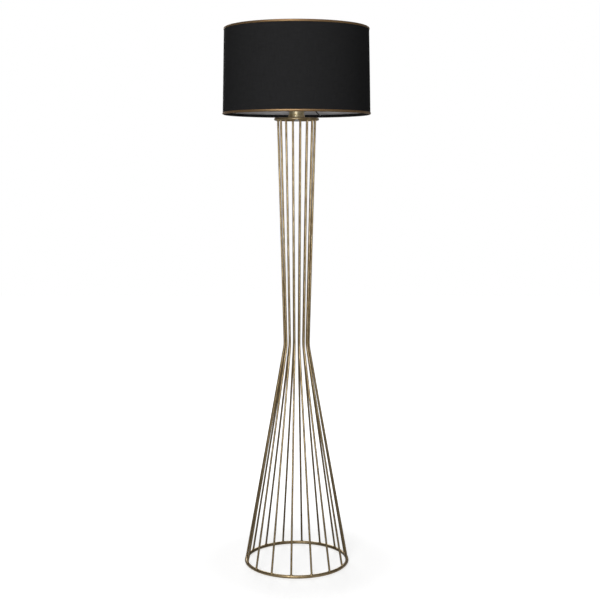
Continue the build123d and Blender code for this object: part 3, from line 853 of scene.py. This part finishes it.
def makeHeadWelds(wires):
    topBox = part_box("top_ring")
    bar = headWeld["topBar"] / 2 * mm
    seat = topBox[1].x - 2 * bar  # where a wire touches the ring from inside
    columns, rows, gap = headWeld["columns"], headWeld["rows"], headWeld["poleGap"]
    across, along, tall = (headWeld[half] for half in ("halfAcross", "halfAlong", "halfTall"))
    vertices, faces = [], []
    for number, node in enumerate(wires):
        points = [vertex.co for vertex in frame["nodes"][node].data.vertices]
        points = [point for point in points if point.z > headWeld["wireTop"] * mm]
        middle = sum(points, Vector()) / len(points)
        outward = Vector((middle.x, middle.y, 0)).normalized()
        sideward = Vector((-outward.y, outward.x, 0))
        centre = outward * (seat - headWeld["inward"] * mm)
        centre += Vector((0, 0, topBox[1].z - bar - headWeld["below"] * mm))
        base = len(vertices)
        for row in range(rows + 1):
            fall = pi * (row + gap) / (rows + 2 * gap)
            for column in range(columns):
                turn = 2 * pi * column / columns
                spot = Vector((cos(turn) + number, sin(turn), cos(fall) * 2))
                lump = 1 + headWeld["lump"] * noise.noise(spot)
                lump += headWeld["ripple"] * sin(fall * headWeld["ripples"])
                side = sin(fall) * lump
                spot = centre + outward * (cos(turn) * side * across * mm)
                spot += sideward * (sin(turn) * side * along * mm)
                spot.z += cos(fall) * tall * mm * lump
                vertices.append(tuple(spot))
        for row in range(rows):
            for column in range(columns):
                after = (column + 1) % columns
                here, there = base + row * columns, base + (row + 1) * columns
                faces.append((here + column, here + after, there + after, there + column))
        faces.append(tuple(base + column for column in range(columns)))
        faces.append(tuple(base + rows * columns + column for column in reversed(range(columns))))
    mesh = bpy.data.meshes.new("headWelds")
    mesh.from_pydata(vertices, [], faces)
    newPiece("headWelds", mesh, "cage", "cage_brass", headWeld["sharpAngle"])


wireNames = sorted(name for name in frame["nodes"] if name.startswith("cage_wire_"))
makeFootWelds(wireNames)
makeHeadWelds(wireNames)
print("welds made:", 2 * len(wireNames))


# Floor, light and camera

studio = {  # lengths in metres
    "floorSize": 14.0,
    "floorDrop": 0.0002,  # so that nothing shares a face with it
    "floor": "#cfcfcf",
    "nearLift": 0.66,  # light added to the floor for the camera, under the lamp
    "farLift": 1.0,  # and away from it, so that it clears to white
    "clears": (0.22, 0.6),  # from the lamp's axis, where that change runs
    "mirrored": (  # painted reflection of the floor in shiny surfaces: painted shade inside the base ring, a bright band beside it that gives the ring its highlight
        (0.12, "#4a4a4a"), (0.155, "#c8c8c8"), (0.22, "#c8c8c8"), (0.45, "#828282"),
    ),
    "fill": 0.07,  # world light on matt surfaces
    "front": 0.50,  # brightness of the room before the lamp, in shiny surfaces
    "aside": 0.12,
    "behind": 0.24,
    "frontEdge": (-0.35, -0.85),  # Y of the direction, where the side gives way to the front
    "behindEdge": (0.3, 0.9),  # and to the wall behind
    "target": (0.0, 0.0, 1.1),
}
lights = {  # place, power in watts, size in metres
    "keyLight": ((-0.75, -2.9, 2.75), 46.0, 1.4),
    "frontLight": ((-0.25, -3.5, 1.6), 10.0, 1.6),
    "lowLight": ((-0.45, -3.25, 0.9), 16.0, 0.5),
    "sideLight": ((2.6, -0.9, 1.7), 2.0, 1.0),
    "backLight": ((-0.4, 2.7, 2.1), 40.0, 1.5),
}


def makeFloor():
    half = studio["floorSize"] / 2
    work = bmesh.new()
    bmesh.ops.create_grid(work, x_segments=8, y_segments=8, size=half)
    mesh = bpy.data.meshes.new("floor")
    work.to_mesh(mesh)
    work.free()
    floor = bpy.data.objects.new("floor", mesh)
    bpy.context.scene.collection.objects.link(floor)
    floor.location.z = -studio["floorDrop"]
    material, tree = newMaterial("paleFloor")
    rays = addNode(tree, "LightPath").outputs
    away = addNode(tree, "VectorMath", {0: addNode(tree, "TexCoord").outputs["Object"]}, operation="LENGTH")
    near, far = studio["clears"]
    lift = addNode(tree, "MapRange", {
        "Value": away.outputs["Value"], "From Min": near, "From Max": far,
        "To Min": studio["nearLift"], "To Max": studio["farLift"],
    }, interpolation_type="SMOOTHSTEP")
    seen = addNode(tree, "Math", {
        0: rays["Is Camera Ray"], 1: rays["Is Transmission Ray"],
    }, operation="ADD", use_clamp=True)
    seenLift = addNode(tree, "Math", {0: seen.outputs[0], 1: lift.outputs[0]}, operation="MULTIPLY")
    matt = addNode(tree, "BsdfDiffuse", {"Color": linearColour(studio["floor"])})
    glow = addNode(tree, "Emission", {"Strength": seenLift.outputs[0]})
    both = addNode(tree, "AddShader", {0: matt.outputs[0], 1: glow.outputs[0]})
    # the floor in shiny surfaces is a painted reflection, set by distance from the lamp's axis
    mirror = addNode(tree, "ValToRGB", {"Fac": away.outputs["Value"]}, stops=studio["mirrored"])
    mirrored = addNode(tree, "Emission", {"Color": mirror.outputs["Color"]})
    shown = addNode(tree, "MixShader", {
        0: rays["Is Glossy Ray"], 1: both.outputs[0], 2: mirrored.outputs[0],
    })
    addNode(tree, "OutputMaterial", {"Surface": shown.outputs[0]})
    mesh.materials.append(material)


def makeWorld():
    world = bpy.data.worlds.new("studio")
    bpy.context.scene.world = world
    world.use_nodes = True
    tree = world.node_tree
    tree.nodes.clear()
    rays = addNode(tree, "LightPath").outputs
    mirrored = addNode(tree, "Math", {
        0: rays["Is Glossy Ray"], 1: rays["Is Transmission Ray"],
    }, operation="ADD", use_clamp=True)
    # shiny surfaces see a bright room in front of the lamp, dark sides and a dim wall behind
    level = addNode(tree, "VectorMath", {
        0: addNode(tree, "TexCoord").outputs["Generated"], 1: (1, 1, 0),
    }, operation="MULTIPLY")
    way = addNode(tree, "SeparateXYZ", {
        "Vector": addNode(tree, "VectorMath", {0: level.outputs[0]}, operation="NORMALIZE").outputs[0],
    })
    frontEdge, behindEdge = studio["frontEdge"], studio["behindEdge"]
    before = addNode(tree, "MapRange", {
        "Value": way.outputs["Y"], "From Min": frontEdge[0], "From Max": frontEdge[1],
        "To Min": studio["aside"], "To Max": studio["front"],
    }, interpolation_type="SMOOTHSTEP")
    behind = addNode(tree, "MapRange", {
        "Value": way.outputs["Y"], "From Min": behindEdge[0], "From Max": behindEdge[1],
        "To Max": studio["behind"],
    }, interpolation_type="SMOOTHSTEP")
    strength = addNode(tree, "Math", {0: before.outputs[0], 1: behind.outputs[0]}, operation="MAXIMUM")
    room = addNode(tree, "Background", {"Color": linearColour("#ffffff"), "Strength": strength.outputs[0]})
    soft = addNode(tree, "Background", {"Color": linearColour("#ffffff"), "Strength": studio["fill"]})
    white = addNode(tree, "Background", {"Color": linearColour("#ffffff"), "Strength": 1.0})
    shine = addNode(tree, "MixShader", {0: mirrored.outputs[0], 1: soft.outputs[0], 2: room.outputs[0]})
    shown = addNode(tree, "MixShader", {0: rays["Is Camera Ray"], 1: shine.outputs[0], 2: white.outputs[0]})
    addNode(tree, "OutputWorld", {"Surface": shown.outputs[0]})


def makeLight(name, place, power, size):
    light = bpy.data.lights.new(name, "AREA")
    light.shape = "SQUARE"
    light.size = size
    light.energy = power
    lamp = bpy.data.objects.new(name, light)
    bpy.context.scene.collection.objects.link(lamp)
    lamp.location = place
    lamp.rotation_euler = (Vector(studio["target"]) - Vector(place)).to_track_quat("-Z", "Y").to_euler()
    lamp.visible_camera = False


viewpoint = {
    "place": (0.0101, -3.335, 1.203),
    "down": 6.81,  # degrees below level
    "lens": 67.5,  # mm
    "sensor": 36,
}


def makeCamera():
    view = bpy.data.cameras.new("camera")
    view.lens = viewpoint["lens"]
    view.sensor_width = viewpoint["sensor"]
    camera = bpy.data.objects.new("camera", view)
    bpy.context.scene.collection.objects.link(camera)
    camera.location = viewpoint["place"]
    camera.rotation_euler = (radians(90 - viewpoint["down"]), 0, 0)
    bpy.context.scene.camera = camera


makeFloor()
makeWorld()
for name, (place, power, size) in lights.items():
    makeLight(name, place, power, size)
makeCamera()
bpy.context.scene.view_settings.view_transform = "Standard"
print("stage set")
